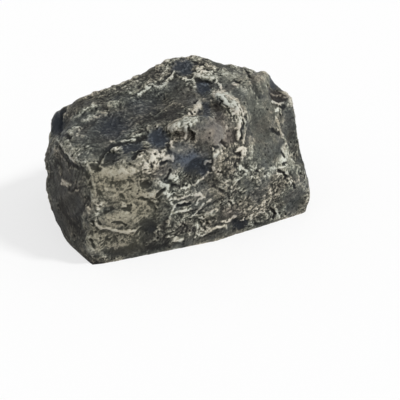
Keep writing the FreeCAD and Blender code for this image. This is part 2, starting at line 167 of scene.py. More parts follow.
def neighbourMean(values, edges):
    count = len(values)
    ends = np.concatenate((edges[:, 0], edges[:, 1]))
    others = np.concatenate((edges[:, 1], edges[:, 0]))
    weight = np.bincount(ends, minlength=count).clip(1)
    columns = [np.bincount(ends, values[others, axis], count) / weight for axis in range(3)]
    return np.stack(columns, axis=1)


passShare = 0.6               # how far one pass moves a point towards its neighbours


def softened(values, edges, passes, share=1.0):
    for turn in range(passes):
        values = values + (neighbourMean(values, edges) - values) * share * passShare
    return values


def ramp(values, low, high):
    part = np.clip((values - low) / (high - low), 0, 1)
    return part * part * (3 - 2 * part)


def pitNoise(place):
    return noise.voronoi(place)[0][0]


# Each pattern's size in mm, the shift that keeps it apart from the others, and its kind.
broad, fine = (noise.fractal, 0.9, 2.1, 3), (noise.fractal, 0.7, 2.2, 2)
patterns = {
    "broad": (15, 0, *broad),
    "warpX": (6.5, 11.1, *broad), "warpY": (6.5, 33.3, *broad), "warpZ": (6.5, 55.5, *broad),
    "crag": (4.6, 5.2, noise.fractal, 0.8, 2.1, 4),
    "crease": (3.6, 15.8, noise.ridged_multi_fractal, 0.9, 2.2, 3, 0.9, 1.6),
    "grain": (1.15, 1.7, *fine),
    "pit": (2.1, 2.9, pitNoise), "pitCrowd": (7, 81.3, *broad),
    "hollow": (3, 0, *fine),
    "wobbleAcross": (5, 3.1, *broad), "wobbleDown": (5, 10.8, *broad),
    "shakeAcross": (1.7, 9.4, *broad), "shakeDown": (1.7, 17.1, *broad),
    "raggedFine": (1.3, 61.7, *fine), "raggedWide": (3.4, 71.2, *fine),
    "patchy": (9, 21.3, *broad), "patchyToo": (12, 47.9, *broad),
}


def sampled(points, name):
    size, shift, kind, *numbers = patterns[name]
    return np.array([kind(Vector(place), *numbers) for place in points / size + shift])


# Heights and lengths are in mm.
rockShape = {
    "voxel": 0.46,            # between the points of the mesh
    "wearPasses": 30,         # how round the chipped edges are worn
    "meltPasses": 60,
    "seat": (35.9, 20.9, 2.7),      # half length, half depth, top of the tray's seat
    "pocket": (33.6, 15.5, 26.8),
    "hollowFrom": 0.5,        # the hollow is rough above this
    "foot": (0.2, 3.5),       # the foot stays sharp up to the second height
    "broadRise": 0.8, "cragRise": 0.62, "creaseRise": 0.26, "grainRise": 0.3, "hollowRise": 0.12,
    "creaseMiddle": 1.1, "pitDepth": 0.9, "pitShare": 0.34, "pitEdge": 0.25, "pitCrowd": (-0.05, 0.25),
    "warpBy": 2.2,
    "strata": (1, 0.22, 0.27), "strataStretch": 3.2,     # the way that the layers run
    "thinTo": 0.5,            # the share of the faces that is kept, most of it on the seen side
    "thinLevels": 10, "thinLeast": 0.02,
}
# How a stroke's edge wanders and fades.
brush = {
    "spotRagged": (1.6, 0.45), "lineRagged": (1.5, 0.55),     # at most, and as a share of its size
    "softEdge": 1.6, "crispEdge": 0.95,
    "riseShare": 0.75,
    "steepness": 1.5,         # of a mound's sides
    "wobble": 1.6, "shake": 1.2, "raggedWide": 0.8,
    "seen": 0.2, "unseenGap": 40,   # points that the camera doesn't see are put this far off
}
barePaint = {
    "cream": 0.26, "creamSpread": 0.5,
    "plain": 0.75, "plainFrom": (-0.15, 0.35), "plainCalm": 0.82,
    "blue": 0.7, "blueFrom": (0.12, 0.4), "brown": 0.6, "brownFrom": (0.15, 0.4),
    "unseen": 0.75,           # blue and brown patches fade out on the side with strokes
}
# How light the paint is: worn high places catch cream, and low ones stay dark.
toneMix = {
    "base": 0.25, "cream": 0.68, "dark": 0.55, "most": 1.6, "least": 0.8,
    "fine": (3, 0.05, 0.08),  # passes, height in mm, share
    "raised": (8, 0.10, 0.11),
    "swell": (40, 0.35, 0.08),
}


# Brush strokes on the side that the main camera sees, in the units of its frame, 400 wide and
# high.  "wide" and "tall" are half sizes, "turn" is in degrees and "rise" in mm.  The rest are
# paints.  Plain paint calms the relief, and a soft stroke fades at its edge.
def spot(x, y, wide, tall, **more):
    return {"at": [(x, y)], "wide": wide, "tall": tall, **more}


def line(places, wide, **more):
    return {"at": places, "wide": wide, **more}


slabStrokes = dict(
    slabShade=spot(102, 112, 34, 15, soft=1, turn=-28, cream=0.2, dark=0.06, plain=0.45),
    slabLip=line([(56, 137), (60, 143), (65, 152), (73, 160), (86, 162), (90, 172), (94, 184)], 1.7,
        rise=0.4, cream=0.55),
    lipShadow=line([(57, 144), (62, 153), (70, 164), (82, 168), (88, 178)], 2.4, rise=-0.8, dark=0.5),
    lumpSeam=line([(68, 107), (65, 115), (62, 126), (60, 135)], 1.6, rise=-1.2, dark=0.8),
    backLump=spot(58, 123, 7, 14, rise=0.3, cream=0, dark=0.4, plain=1, blue=0.85),
    tanShelf=spot(75, 151, 13, 9, soft=1, turn=25, rise=0.3, cream=0.48, plain=0.4),
    lipFlecks=line([(64, 135), (73, 130), (79, 129)], 3, rise=0.6, cream=0.5),
    lipPit=spot(68, 138, 4, 2.4, turn=30, rise=-1.1, dark=1),
    strataFleckA=spot(113, 103, 6, 4, turn=-30, rise=0.5, cream=0.62),
    strataFleckB=line([(84, 121), (98, 115), (106, 113)], 3, rise=0.5, cream=0.6),
    strataFleckC=line([(84, 110), (97, 103)], 1.8, rise=0.4, cream=0.6),
    strataFleckD=line([(72, 119), (82, 112)], 1.8, rise=0.4, cream=0.55),
    slabBlue=spot(114, 127, 17, 12, soft=1, turn=-15, rise=-0.4, cream=0.02, dark=0.15, plain=0.4,
        blue=0.62),
    slabBlueFar=spot(140, 107, 13, 8, soft=1, rise=-0.3, cream=0.14, dark=0.05, plain=0.4, blue=0.4),
    slabDark=spot(148, 106, 26, 14, soft=1, turn=-12, rise=-0.3, cream=0.18, dark=0.05, plain=0.45),
    slabFoot=spot(98, 148, 9, 9, soft=1, rise=-0.2, cream=0.2, blue=0.15),
    slabStep=line([(99, 163), (105, 154), (112, 147), (122, 143), (135, 142), (145, 137)], 2.6, rise=-1,
        dark=0.75),
    stepRimA=line([(101, 163), (104, 157), (108, 152)], 1, rise=1.2, cream=1.3),
    stepRimB=line([(111, 151), (115, 149), (118, 152), (122, 150)], 1.3, rise=1.1, cream=1.1),
    stepRimC=line([(121, 141), (128, 140), (135, 140.5)], 0.9, rise=0.9, cream=1.2),
    stepHole=spot(97, 168, 4.8, 5.2, rise=-2.4, dark=1),
    stepBlueA=spot(110, 160, 9, 5.5, turn=-20, rise=-0.7, cream=0, dark=0.35, blue=0.5),
    stepBlueB=spot(132, 148, 10, 5, turn=-8, rise=-0.8, cream=0.05, dark=0.2, blue=0.6),
    smoothBlue=spot(158, 139, 9, 10, turn=20, rise=-0.6, cream=0.14, plain=0.8, blue=0.95),
    littleVee=line([(150, 113), (156, 117), (161, 113)], 1, rise=0.7, cream=1.1),
)
peakStrokes = dict(
    rimStreak=line([(138, 95), (146, 90), (152, 87)], 1.4, rise=0.7, cream=0.95),
    rimStreakB=line([(152, 87), (160, 89), (166, 86), (168, 80), (175, 73)], 1.8, rise=0.8, cream=0.58),
    rimStreakC=line([(130, 92), (138, 91)], 2.2, rise=0.4, cream=0.45),
    peakBlue=spot(183, 69, 10, 6, rise=-0.3, cream=0, plain=0.5, blue=0.75),
    peakBare=spot(196, 62, 8, 3.2, rise=0.2, cream=0.42, plain=0.4),
    peakTip=spot(205, 58, 5, 2.2, rise=-0.5, dark=0.5),
    peakSide=spot(213, 66, 6, 3, turn=25, rise=0.2, cream=0.5),
    peakSeam=line([(193, 64), (199, 66), (204, 65)], 1.2, rise=-0.7, dark=0.8),
    brightBrow=line([(197, 75), (204, 73), (212, 76), (216, 79)], 4, rise=1.1, cream=0.95),
    browShadow=line([(196, 80), (206, 81), (214, 82)], 1.8, rise=-1.2, dark=0.8),
    browBlue=spot(203, 88, 7, 6.5, rise=-0.4, cream=0.12, plain=0.4, blue=0.85),
    browEdge=line([(183, 79), (190, 81), (195, 83)], 1.1, rise=0.6, cream=0.9),
    browFleck=line([(195, 83), (193, 90), (197, 97)], 2, rise=0.5, cream=0.6),
    peakFlat=spot(226, 78, 10, 8, soft=1, turn=20, cream=0.4, plain=0.8),
    peakWall=line([(222, 70), (234, 74), (243, 76), (245, 90)], 3, cream=0.62),
    wallTop=line([(226, 71), (240, 74)], 5, soft=1, cream=0.75, plain=0.6),
    wallFleck=spot(236, 85, 4, 3, turn=25, rise=0.7, cream=0.9),
    wallPit=spot(238, 81, 3, 1.2, rise=-0.8, dark=1),
    spurWhite=line([(219, 84), (221, 88)], 1.2, rise=0.8, cream=1.2),
    underPeakBrown=spot(190, 97, 12, 10, soft=1, rise=-0.2, cream=0.2, dark=0.05, brown=0.35),
)
crestStrokes = dict(
    crest=line([(177, 121), (186, 119), (193, 113), (199, 106), (202, 100)], 3.6, rise=0.7, cream=0.85),
    crestStart=line([(148, 129), (156, 124), (166, 122), (177, 121)], 3.2, rise=0.4, cream=0.35),
    crestFoot=line([(172, 128), (184, 126), (193, 120)], 5, rise=0.6, cream=0.72),
    crestHoleA=spot(189, 126, 1.6, 3, rise=-0.9, dark=0.5),
    crestUnder=spot(187, 133, 8, 6, soft=1, rise=0.5, cream=0.68, plain=0.7, brown=0.6),
    crestAbove=line([(152, 118), (166, 116), (178, 113)], 6, soft=1, cream=0.05, dark=0.25, plain=0.5),
    crestHoleC=spot(199, 111, 2, 1.3, turn=-40, rise=-1.3, dark=1),
    crestHoleD=line([(190, 113), (193, 116)], 1.1, rise=-1.1, dark=1),
    crestHoleE=line([(195, 104), (197, 101)], 1.1, rise=-1, dark=0.9),
    crestTailA=line([(186, 127), (188, 134), (185, 138)], 1.3, rise=0.8, cream=1.1),
    poolRim=line([(171, 141), (174, 149)], 0.9, rise=0.3, cream=1.15),
    poolShadow=line([(168, 144), (169, 152)], 1.8, rise=-1, dark=0.9),
    pool=spot(190, 160, 18, 10, soft=1, turn=12, rise=0.1, cream=0.2, dark=0, plain=0.9, blue=1),
    poolBack=spot(182, 148, 9, 7, cream=0.34, plain=0.8, blue=0.35),
    poolRight=spot(203, 170, 6, 6, rise=-0.3, cream=0.25, dark=0, plain=0.5, blue=0.8),
    poolCurl=line([(204, 164), (206, 161), (210, 160)], 1.1, rise=0.9, cream=1.2),
    # Painted glint: a tiny over-bright cream fleck that stands in for a glint of light.
    poolPaintedGlint=line([(209, 173), (211, 173)], 1.4, rise=0.8, cream=1.2),
    creamPatch=spot(148, 161, 14, 9, turn=-5, rise=0.9, cream=0.74),
    creamPatchTail=line([(152, 157), (162, 156), (171, 159)], 3, rise=0.9, cream=0.85),
    patchHoleA=line([(166, 161), (160, 163)], 1.7, rise=-1.1, dark=1),
    patchHoleB=line([(151, 162), (151, 166)], 1.2, rise=-0.8, dark=1),
    patchShadow=line([(134, 158), (138, 153), (144, 149)], 2, rise=-1, dark=0.9),
    patchUnder=spot(162, 172, 9, 6, soft=1, rise=-0.5, cream=0.42, brown=0.35),
    poolRimLow=line([(171, 156), (172, 162)], 1, rise=0.3, cream=1.1),
)
clawStrokes = dict(
    valley=line([(212, 98), (215, 108), (213, 118)], 9, soft=1, rise=0.2, cream=0.22, dark=0, plain=0.3),
    valleyBlue=line([(206, 106), (207, 114)], 3.4, rise=-0.2, blue=0.6),
    clawBack=line([(226, 100), (234, 110), (240, 120)], 7, soft=1, rise=0.4, cream=0.9),
    clawBody=line([(233, 105), (240, 114), (242, 126)], 5.5, soft=1, rise=0.9, cream=0.95),
    valleyFloor=line([(217, 106), (219, 120)], 5, soft=1, rise=-0.3, cream=0.12, dark=0.1, plain=0.7,
        brown=0.5),
    clawCrest=line([(215, 94), (222, 94), (229, 97), (235, 102), (241, 107), (246, 114), (249, 120)], 4.6,
        rise=0.5, cream=1),
    clawSecond=line([(231, 104), (234, 112), (237, 120), (238, 129), (238, 138)], 2.4, rise=0.9,
        cream=1.1, plain=0.5),
    clawThird=line([(236, 108), (242, 114), (245, 121)], 1.6, rise=0.4, cream=1.2),
    bump=spot(214, 131, 16, 12, soft=1, turn=-10, rise=0.8, cream=0.42, plain=0.9, brown=0.8),
    bumpRight=spot(227, 137, 8, 8, rise=0.4, cream=0.36, plain=0.8, brown=0.8),
    fold=line([(228, 127), (221, 136), (217, 143), (217, 152), (213, 161), (214, 169)], 1.7, rise=0.5,
        cream=0.7),
    foldHole=line([(212, 148), (216, 148)], 2.3, rise=-0.8, dark=0.7),
    # Painted glint: a tiny over-bright cream fleck that stands in for a glint of light.
    foldPaintedGlint=line([(211, 148), (213, 150)], 0.9, rise=1.2, cream=1.2),
    foldCrack=line([(221, 141), (226, 146)], 1.2, rise=-1.1, dark=1),
    foldFoot=line([(218, 146), (221, 156), (218, 166), (219, 176)], 4.6, rise=0.2, cream=0.92),
    foldSide=spot(229, 158, 10, 7, soft=1, turn=20, rise=-0.3, cream=0.26, dark=0.05),
    clawLineA=line([(220, 99), (226, 106), (229, 114), (231, 122)], 0.8, rise=-0.6, dark=0.4),
    clawLineB=line([(224, 98), (230, 104), (234, 113), (235, 119)], 0.7, rise=-0.5, dark=0.6),
    clawLineC=line([(229, 100), (235, 106), (240, 114), (241, 120)], 0.7, rise=-0.5, dark=0.6),
    clawLineD=line([(234, 102), (241, 108), (245, 115), (246, 122)], 0.7, rise=-0.5, dark=0.6),
    clawHoleA=line([(228, 113), (229, 118)], 1.3, rise=-0.5, dark=0.4),
    clawHoleB=line([(232, 116), (233, 121)], 1.2, rise=-0.5, dark=0.4),
    clawHoleC=line([(243, 115), (245, 119)], 1.1, rise=-1, dark=1),
    clawThin=line([(244, 124), (245, 133), (243, 144)], 1, rise=0.5, cream=1.1),
    clawGapB=line([(226, 110), (227, 120), (231, 128), (234, 140)], 2.6, rise=-0.2, dark=0.15),
    clawGapC=line([(241, 119), (242, 128), (241, 137)], 1.3, rise=-0.8, dark=1),
    clawGapF=line([(217, 98), (222, 102)], 1.6, rise=-0.8, dark=0.5),
    bumpGlow=line([(221, 131), (217, 141)], 4, cream=0.62, plain=0.8, brown=0.9),
)
rightStrokes = dict(
    squiggleTail=line([(241, 158), (238, 164), (241, 168), (246, 171)], 1.5, rise=0.5, cream=1.15),
    facetFootB=line([(261, 169), (264, 168)], 1.5, rise=0.4, cream=0.95),
    facetFootC=line([(270, 169), (275, 168)], 1.8, rise=0.4, cream=0.9),
    facetFootPit=line([(257, 171), (259, 171)], 1.3, rise=-0.7, dark=0.9),
    plainFacet=spot(262, 132, 20, 38, soft=1, turn=-8, cream=0.3, plain=1),
    plainTop=spot(258, 92, 14, 20, soft=1, turn=-15, cream=0.36, plain=1),
    hornFace=spot(266, 84, 6, 8, soft=1, cream=0.6, plain=0.9),
    topNotch=line([(248, 71), (250, 76)], 1.8, rise=-1.2, dark=1),
    topFurrow=line([(252, 78), (254, 86), (260, 96)], 4, rise=-0.7, dark=0.25, plain=1),
    topRidge=line([(263, 76), (266, 88)], 4, rise=0.6, cream=0.4, plain=0.9),
    cornerHollow=spot(278, 97, 8.5, 6, turn=20, rise=-0.9, cream=0, dark=0.3, plain=0.25, brown=0.7),
    cornerLight=line([(284, 92), (288, 98), (290, 106)], 2.4, rise=0.5, cream=0.62),
    cornerRidge=line([(273, 94), (279, 96), (285, 99)], 1.2, rise=0.8, cream=0.5, brown=0.6),
    cornerRim=line([(272, 101), (278, 104), (283, 103)], 1.2, rise=0.9, cream=0.95),
    cornerPit=spot(283, 107, 2, 1.6, rise=-1, dark=0.9),
    # Painted glint: a tiny over-bright cream fleck that stands in for a glint of light.
    cornerPaintedGlint=line([(277, 108), (277, 111)], 1.2, rise=0.6, cream=1.2),
    edgeGrey=line([(290, 112), (292, 130), (297, 146)], 4, soft=1, cream=0.15, dark=0.05, plain=0.7),
    edgeStreak=line([(276, 118), (279, 128), (285, 137), (291, 146)], 1.6, rise=0.3, cream=0.6),
    edgeHole=line([(272, 129), (277, 134)], 2.2, rise=-0.8, dark=0.9),
    wedge=line([(285, 146), (291, 155), (296, 166)], 4.4, rise=0.3, cream=0.85, plain=0.9),
    creamCorner=spot(283, 166, 10, 11, turn=15, rise=0.4, cream=0.95),
    creamLeft=line([(275, 168), (270, 175)], 3.4, rise=0.3, cream=0.95),
    cornerHoleA=line([(282, 151), (286, 155)], 1.6, rise=-0.9, dark=0.9),
    cornerHoleB=line([(279, 170), (284, 174), (287, 176)], 1.7, rise=-1.3, dark=1),
    cornerHoleC=line([(284, 164), (288, 162)], 1.3, rise=-0.8, dark=0.8),
    squiggle=line([(239, 149), (243, 150), (243, 155)], 2.3, rise=0.6, cream=1.15),
    squiggleShadow=line([(234, 151), (239, 155), (239, 161), (235, 166)], 1.8, rise=-0.7, dark=0.55),
    facetFoot=line([(250, 170), (255, 169)], 1.6, rise=0.4, cream=0.9),
    facetFleck=line([(250, 138), (252, 150), (250, 158)], 2.2, rise=0.3, cream=0.62),
)
lowStrokes = dict(
    lowGrey=line([(195, 200), (250, 192), (300, 190)], 22, soft=1, cream=0.35),
    streakA=line([(171, 196), (180, 190), (189, 186), (199, 180), (209, 174)], 1.12, rise=0.26,
        cream=0.84),
    streakB=line([(171, 201), (178, 199), (188, 197), (195, 194), (202, 196)], 1.2, rise=0.26,
        cream=0.84),
    streakC=line([(175, 205), (186, 202)], 0.96, rise=0.2, cream=0.88),
    streakD=line([(196, 204), (199, 200), (204, 197)], 0.96, rise=0.26, cream=0.97),
    streakE=line([(194, 215), (198, 210), (203, 204), (210, 199)], 1.04, rise=0.3, cream=0.97),
    streakF=line([(172, 214), (180, 211), (189, 208)], 1.6, rise=0.26, cream=0.84),
    streakG=line([(168, 222), (172, 214), (174, 206), (171, 200)], 1.44, rise=0.26, cream=0.84),
    streakH=line([(201, 218), (208, 213), (216, 209)], 1.12, rise=0.2, cream=0.7),
    streakGapA=line([(178, 207), (190, 203)], 1.5, rise=-0.9, dark=0.9),
    streakGapC=line([(180, 186), (173, 186)], 1.8, rise=-0.8, dark=0.8),
    streakGapD=line([(201, 209), (212, 203), (222, 197)], 1.4, rise=-0.4, dark=0.3),
    swirl=line([(213, 186), (222, 191), (229, 197), (231, 205)], 1.4, rise=-0.3, dark=0.3),
    lowMid=spot(160, 211, 8, 12, soft=1, turn=15, cream=0.18, dark=0.05, plain=0.5),
    knuckle=line([(160, 184), (167, 187), (167, 194)], 3.4, rise=0.4, cream=0.95, plain=0.3),
    knucklePits=line([(163, 190), (156, 195)], 1.7, rise=-1, dark=1),
    whiteBlob=spot(173, 177, 4.4, 3.6, rise=0.6, cream=1),
    blobCrack=line([(170, 170), (168, 178), (165, 181)], 1.2, rise=-1, dark=1),
    darkSpot=spot(240, 224, 7, 5, turn=-12, rise=-0.4, cream=0, dark=0.7, blue=0.4),
    # Painted glint: a tiny over-bright cream fleck that stands in for a glint of light.
    spotPaintedGlint=line([(240, 220), (243, 218)], 1, rise=0.7, cream=1.2),
    lowBrown=spot(231, 212, 9, 5, soft=1, cream=0.25, brown=0.6),
    lowTan=spot(256, 214, 9, 6, soft=1, turn=-20, cream=0.5),
    shellMound=spot(267, 214, 7, 4.6, turn=-20, rise=0.8, cream=0.35),
    shellLip=line([(272, 210), (275, 213), (273, 218)], 1.4, rise=-1.3, dark=1),
    shellFleck=line([(277, 211), (279, 216)], 1.8, rise=0.5, cream=0.8),
    cornerGrey=spot(293, 203, 11, 8, soft=1, turn=-25, cream=0.15, plain=0.9),
    cornerPitA=line([(295, 184), (296, 188)], 1.4, rise=-0.8, dark=1),
    edgeFleck=line([(299, 172), (302, 182), (304, 190)], 1.2, rise=0.3, cream=0.5),
    footFleckA=line([(168, 238), (182, 238)], 2.6, rise=0.4, cream=0.8),
    footFleckB=line([(200, 234), (212, 229)], 2.8, rise=0.4, cream=0.72),
    footDark=line([(182, 227), (195, 229)], 4, rise=-0.3, dark=0.35, brown=0.3),
    lowFleckC=line([(222, 222), (230, 219), (235, 216)], 1.6, rise=0.4, cream=1),
    lowFleckD=line([(247, 218), (254, 214), (262, 209)], 2, rise=0.3, cream=0.85),
    lowFleckF=line([(202, 217), (210, 214)], 2.4, rise=0.3, cream=0.8),
    lowFleckE=line([(218, 228), (226, 226)], 1.6, rise=0.3, cream=0.9),
)
frontStrokes = dict(
    pitClusterLow=line([(130, 205), (129, 209), (124, 210)], 1.8, rise=-0.9, dark=0.7),
    pitClusterFar=line([(139, 199), (146, 199)], 1.4, rise=-0.7, dark=0.7),
    frontLight=line([(104, 180), (125, 188), (140, 205)], 19, soft=1, cream=0.47, plain=0.5, olive=1.2),
    frontLow=line([(100, 238), (128, 240)], 14, soft=1, cream=0.36, plain=0.5, olive=1),
    topBand=line([(103, 171), (118, 173), (131, 171)], 4.6, rise=0.3, cream=0.8, plain=0.6),
    bandFoot=line([(100, 181), (116, 184), (132, 182)], 3, rise=-0.5, cream=0.5),
    leftLip=line([(94, 184), (92, 198), (89, 210), (82, 217), (85, 226), (88, 238), (88, 252)], 2,
        rise=0.2, cream=0.42),
    leftLipShade=line([(90, 188), (87, 203), (79, 214), (80, 226), (84, 240)], 2.2, rise=-0.4, dark=0.2),
    lipTan=line([(98, 203), (98, 218)], 5, soft=1, rise=0.2, cream=0.62, plain=0.4),
    # Painted glint: a tiny over-bright cream spot that stands in for a glint of light.
    lipPaintedGlint=spot(106, 190, 1.8, 1.6, rise=0.8, cream=1.3),
    crackA=line([(97, 190), (101, 196), (98, 203)], 2.2, rise=-0.3, dark=0.3),
    crackB=line([(104, 211), (98, 217)], 2.2, rise=-0.3, dark=0.3),
    crackC=line([(97, 218), (100, 225)], 2, rise=-0.3, dark=0.3),
    crackD=line([(113, 180), (115, 176), (112, 186)], 1, rise=-0.3, dark=0.5),
    eyeMound=spot(119, 218, 16, 8, rise=0.3, cream=0.62, plain=0.9, olive=0.9),
    eyeBrow=line([(105, 213), (113, 208)], 1, rise=-0.5, dark=0.5),
    eyeLid=line([(112, 223), (120, 223), (126, 226)], 0.9, rise=-0.6, dark=0.8),
    eyeLine=line([(95, 224), (101, 228), (112, 229), (122, 231), (134, 230)], 1.6, rise=0.7, cream=1),
    eyeUnder=line([(104, 231), (112, 234), (120, 234)], 3, rise=-0.2, dark=0.05, brown=0.3),
    pitCluster=line([(120, 195), (125, 198)], 1.8, rise=-0.6, dark=0.5),
    # Painted glint: a tiny over-bright cream fleck that stands in for a glint of light.
    pitPaintedGlint=line([(123, 204), (127, 206)], 1.7, rise=0.6, cream=1.15),
    darkPatch=spot(147, 185, 6.5, 4.2, turn=15, rise=-0.8, dark=0.85, brown=0.3),
    darkPatchB=spot(151, 203, 4.5, 2.8, rise=-0.9, dark=0.5),
    patchWhite=line([(152, 201), (156, 202)], 1, rise=0.6, cream=1.1),
    midWhite=line([(143, 196), (150, 195)], 3, rise=0.5, cream=0.8),
    lensDark=spot(148, 226, 8, 6, rise=-0.2, cream=0, dark=0.75, blue=0.3),
    holeSmall=spot(93, 223, 1.8, 1.6, rise=-1, dark=1),
    footHoles=spot(107, 239, 3.2, 1.8, turn=-20, rise=-0.9, dark=0.95),
    footTan=line([(110, 246), (124, 248)], 4, rise=0.3, cream=0.72, brown=0.4),
    footShade=line([(112, 253), (140, 250), (165, 243)], 5, soft=1, rise=-0.2, cream=0.05, dark=0.35,
        plain=0.5),
    cornerCut=line([(91, 240), (95, 247)], 1.8, rise=-0.9, dark=0.8),
    lowBandLeft=spot(150, 240, 16, 6, soft=1, turn=-8, cream=0.08, dark=0.2),
)
endStrokes = dict(
    # Calm brown-grey paint on the left end, darkened further as painted shade of the end that turns away
    # from the light.
    plainShadedEnd=spot(68, 200, 21, 46, soft=1, turn=-8, cream=0.05, dark=0.08, plain=1, brown=0.3),
    endSpotA=line([(64, 182), (68, 185)], 2, rise=0.4, cream=0.85),
    endSpotB=line([(76, 190), (79, 189)], 1.3, rise=0.3, cream=0.75),
    endSpotC=line([(58, 168), (61, 174)], 1.3, rise=0.3, cream=0.5),
    endCrack=line([(70, 190), (80, 188), (90, 184)], 1.2, rise=-0.4, dark=0.6),
    endFold=line([(56, 166), (60, 176), (70, 192)], 2, rise=0.5),
    endGroove=line([(60, 200), (66, 214), (80, 232)], 3, rise=-0.5, dark=0.15),
)
# Small corrections of the outline: "at" is in the units of the frame, the rest in mm.
nudges = dict(
    peak=dict(at=(195, 57), wide=8, rise=1.4),
    peakRight=dict(at=(227, 64), wide=10, rise=-2.3),
    topPlateau=dict(at=(240, 68), wide=6, rise=0.4),
    topCleft=dict(at=(257, 71), wide=2.6, rise=-2.0),
    topHorn=dict(at=(266, 75), wide=4.5, rise=2.0),
    topDip=dict(at=(277, 84), wide=5.5, rise=-3.8),
    rightUpper=dict(at=(291, 100), wide=6, rise=0.9),
    rightMiddle=dict(at=(302, 158), wide=14, rise=-2.4),
    slabCorner=dict(at=(72, 103), wide=7, rise=1.5),
    slabMargin=dict(at=(98, 93), wide=9, rise=0.3),
    slabMarginB=dict(at=(120, 82), wide=7, rise=-0.8),
    slabMarginC=dict(at=(158, 66), wide=8, rise=0.5),
    lump=dict(at=(55, 116), wide=7, rise=1.1),
    lumpNotch=dict(at=(46.5, 141), wide=6, rise=-3.0),
    endBulge=dict(at=(46, 165), wide=8, rise=-1.1),
    endLow=dict(at=(70, 243), wide=12, rise=1.7),
    endMiddle=dict(at=(52, 214), wide=8, rise=-0.7),
    cornerLow=dict(at=(92, 262), wide=5, rise=-2.2),
    rightLow=dict(at=(306, 209), wide=5, rise=-0.2),
    rightFoot=dict(at=(308, 195), wide=6, rise=0.9),
)
# Places where the chipped form is worn down to a soft mound.
melts = dict(
    bumpTop=dict(at=(214, 126), wide=8),
    clawWall=dict(at=(224, 111), wide=6),
    crestWall=dict(at=(190, 132), wide=5),
)
# Mounds behind the steep crests, so that no crest stands up as a bare wall.  They are in mm,
# and "tilt" is in degrees.
fillers = dict(
    browBack=dict(at=(-2.5, -24.2, 46.2), half=(9.5, 6.8, 2.7), tilt=-28),
    clawBack=dict(at=(13, -14, 48.9), half=(6.5, 5.5, 2.4), tilt=-28),
    valley=dict(at=(10.5, -21.8, 43.6), half=(7.5, 6.8, 4.0), tilt=22),
)
strokes = [stroke for group in (endStrokes, slabStrokes, peakStrokes, crestStrokes, clawStrokes,
                                 rightStrokes, frontStrokes, lowStrokes)
           for stroke in group.values()]
paintNames = ("cream", "blue", "brown", "dark", "plain", "olive")


def seenBy(points, normals):
    right, up, back = [np.array(axis) for axis in cameraAxes()]
    away = points - (np.array(camera["looksAt"]) + back * camera["distance"])
    depth = -away @ back
    units = camera["frameWidth"] * camera["lens"] / camera["sensor"]
    across = camera["frameWidth"] / 2 + units * (away @ right) / depth
    down = camera["frameWidth"] / 2 - units * (away @ up) / depth
    away /= np.linalg.norm(away, axis=1)[:, None]
    facing = ramp(-(normals * away).sum(axis=1), *camera["grazing"])
    return across, down, facing


def insideBox(points, halfLength, halfDepth, top):
    return ((abs(points[:, 0]) < halfLength) & (abs(points[:, 1]) < halfDepth)
            & (points[:, 2] < top))


def addFillers(piece):
    for name, filler in fillers.items():
        deselectAll()
        bpy.ops.mesh.primitive_uv_sphere_add(
            segments=32, ring_count=16, radius=mm, location=Vector(filler["at"]) * mm,
            rotation=(math.radians(filler["tilt"]), 0, 0), scale=filler["half"])
        mound = bpy.context.object
        makeActive(piece)
        mound.select_set(True)
        bpy.ops.object.join()
        print("mound added:", name)


def makeRockMesh():
    piece = copyOfNode("rock_body", "paintedRock")
    addFillers(piece)
    applyModifier(piece, "REMESH", mode="VOXEL", voxel_size=rockShape["voxel"] * mm)
    bpy.ops.object.shade_smooth()
    points, edges = readPoints(piece), readEdges(piece)
    hollow = insideBox(points, *rockShape["seat"]) | insideBox(points, *rockShape["pocket"])
    skin = (~hollow) * ramp(points[:, 2], *rockShape["foot"])
    outside = (~hollow).astype(float)
    share = np.stack((outside, outside, skin), axis=1)     # the foot wears sideways only
    points = softened(points, edges, rockShape["wearPasses"], share)
    writePoints(piece, points)
    print("rock mesh:", len(points), "points", len(piece.data.polygons), "faces")
    return piece, hollow, skin, edges


def distanceFrom(points, seen, place):
    across, down, facing = seen
    gap = np.hypot(across - place["at"][0], down - place["at"][1])
    gap += brush["unseenGap"] * (facing < brush["seen"])
    return np.linalg.norm(points - points[gap.argmin()], axis=1) / place["wide"]


def moundAt(distance):
    return np.exp(-brush["steepness"] * distance * distance)


def melted(points, seen, edges):
    soft = softened(points, edges, rockShape["meltPasses"])
    share = np.zeros(len(points))
    for melt in melts.values():
        distance = distanceFrom(points, seen, melt)
        share = np.maximum(share, np.exp(-brush["steepness"] * distance ** 4))
    return points + (soft - points) * share[:, None]


def alongStrata(points):
    run = np.array(Vector(rockShape["strata"]).normalized())
    return points - np.outer(points @ run, run) * (1 - 1 / rockShape["strataStretch"])


def craggy(points):
    warp = [sampled(points, name) for name in ("warpX", "warpY", "warpZ")]
    warped = points + np.stack(warp, axis=1) * rockShape["warpBy"]
    layered = alongStrata(warped)
    crag = sampled(warped, "crag") * rockShape["cragRise"]
    crease = -(sampled(layered, "crease") - rockShape["creaseMiddle"]) * rockShape["creaseRise"]
    grain = sampled(layered, "grain") * rockShape["grainRise"]
    depth = ramp(rockShape["pitShare"] - sampled(points, "pit"), 0, rockShape["pitEdge"])
    crowd = ramp(sampled(points, "pitCrowd"), *rockShape["pitCrowd"])
    return crag + crease + grain - depth * crowd * rockShape["pitDepth"]


def unbrushed(points, facing):
    patchy, patchyToo = sampled(points, "patchy"), sampled(points, "patchyToo")
    unseen = 1 - barePaint["unseen"] * facing
    paint = {name: np.zeros(len(points)) for name in paintNames}
    paint["cream"] = barePaint["cream"] + barePaint["creamSpread"] * patchy
    paint["plain"] = ramp(patchyToo - patchy, *barePaint["plainFrom"]) * barePaint["plain"]
    paint["blue"] = ramp(patchyToo, *barePaint["blueFrom"]) * barePaint["blue"] * unseen
    paint["brown"] = ramp(-patchyToo, *barePaint["brownFrom"]) * barePaint["brown"] * unseen
    return paint


